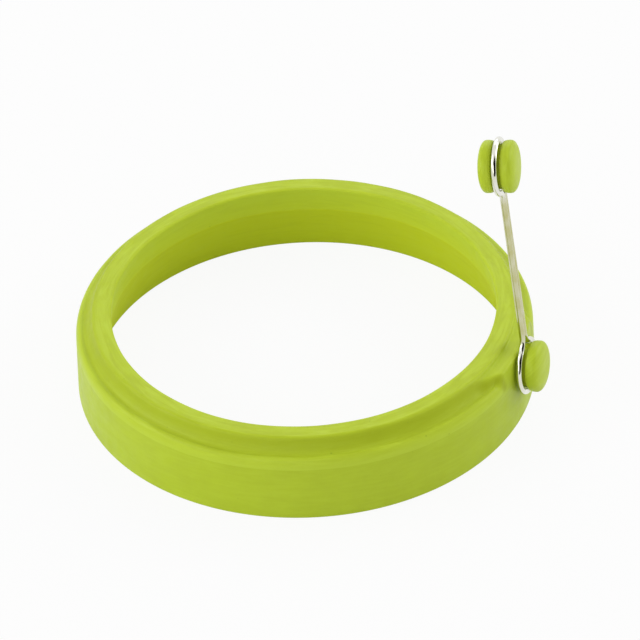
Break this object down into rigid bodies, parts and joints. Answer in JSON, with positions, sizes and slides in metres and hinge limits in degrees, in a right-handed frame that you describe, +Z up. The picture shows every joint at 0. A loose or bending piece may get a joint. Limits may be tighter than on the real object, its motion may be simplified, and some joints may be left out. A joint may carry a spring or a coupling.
{
  "type": "egg ring",
  "caption": "Round silicone egg ring with a raised lip and flared bore, lifted by an upright wire handle that folds down about a moulded stud and carries a turning silicone knob.",
  "frame": {"origin": "middle of the footprint that the whole object stands over, on the surface that the ring stands on", "axes": "+Z up out of the ring, +X from the ring's axis towards the stud and its handle, +Y completes a right-handed frame; the object is the same on both sides of the XZ plane, but for the small twist of the handle's shank"},
  "size_m": [0.1069, 0.102, 0.0717],
  "materials": {
    "silicone": "satin moulded lime green silicone rubber",
    "bright_wire": "bright polished round steel wire"
  },
  "bodies": {
    "ring": {"ring_body": "silicone"},
    "handle": {"handle_wire": "bright_wire"},
    "knob": {"handle_knob": "silicone"}
  },
  "joints": [
    {"name": "handle_swing", "type": "hinge", "parent": "ring", "child": "handle", "pos_m": [0.04904, 0, 0.01285], "axis": [0.994, 0, 0.1097], "range_deg": [-96.5, 96.5]},
    {"name": "knob_turn", "type": "hinge", "parent": "handle", "child": "knob", "pos_m": [0.04324, 0, 0.06533], "axis": [0.9855, 0.1305, 0.1088], "continuous": true}
  ]
}
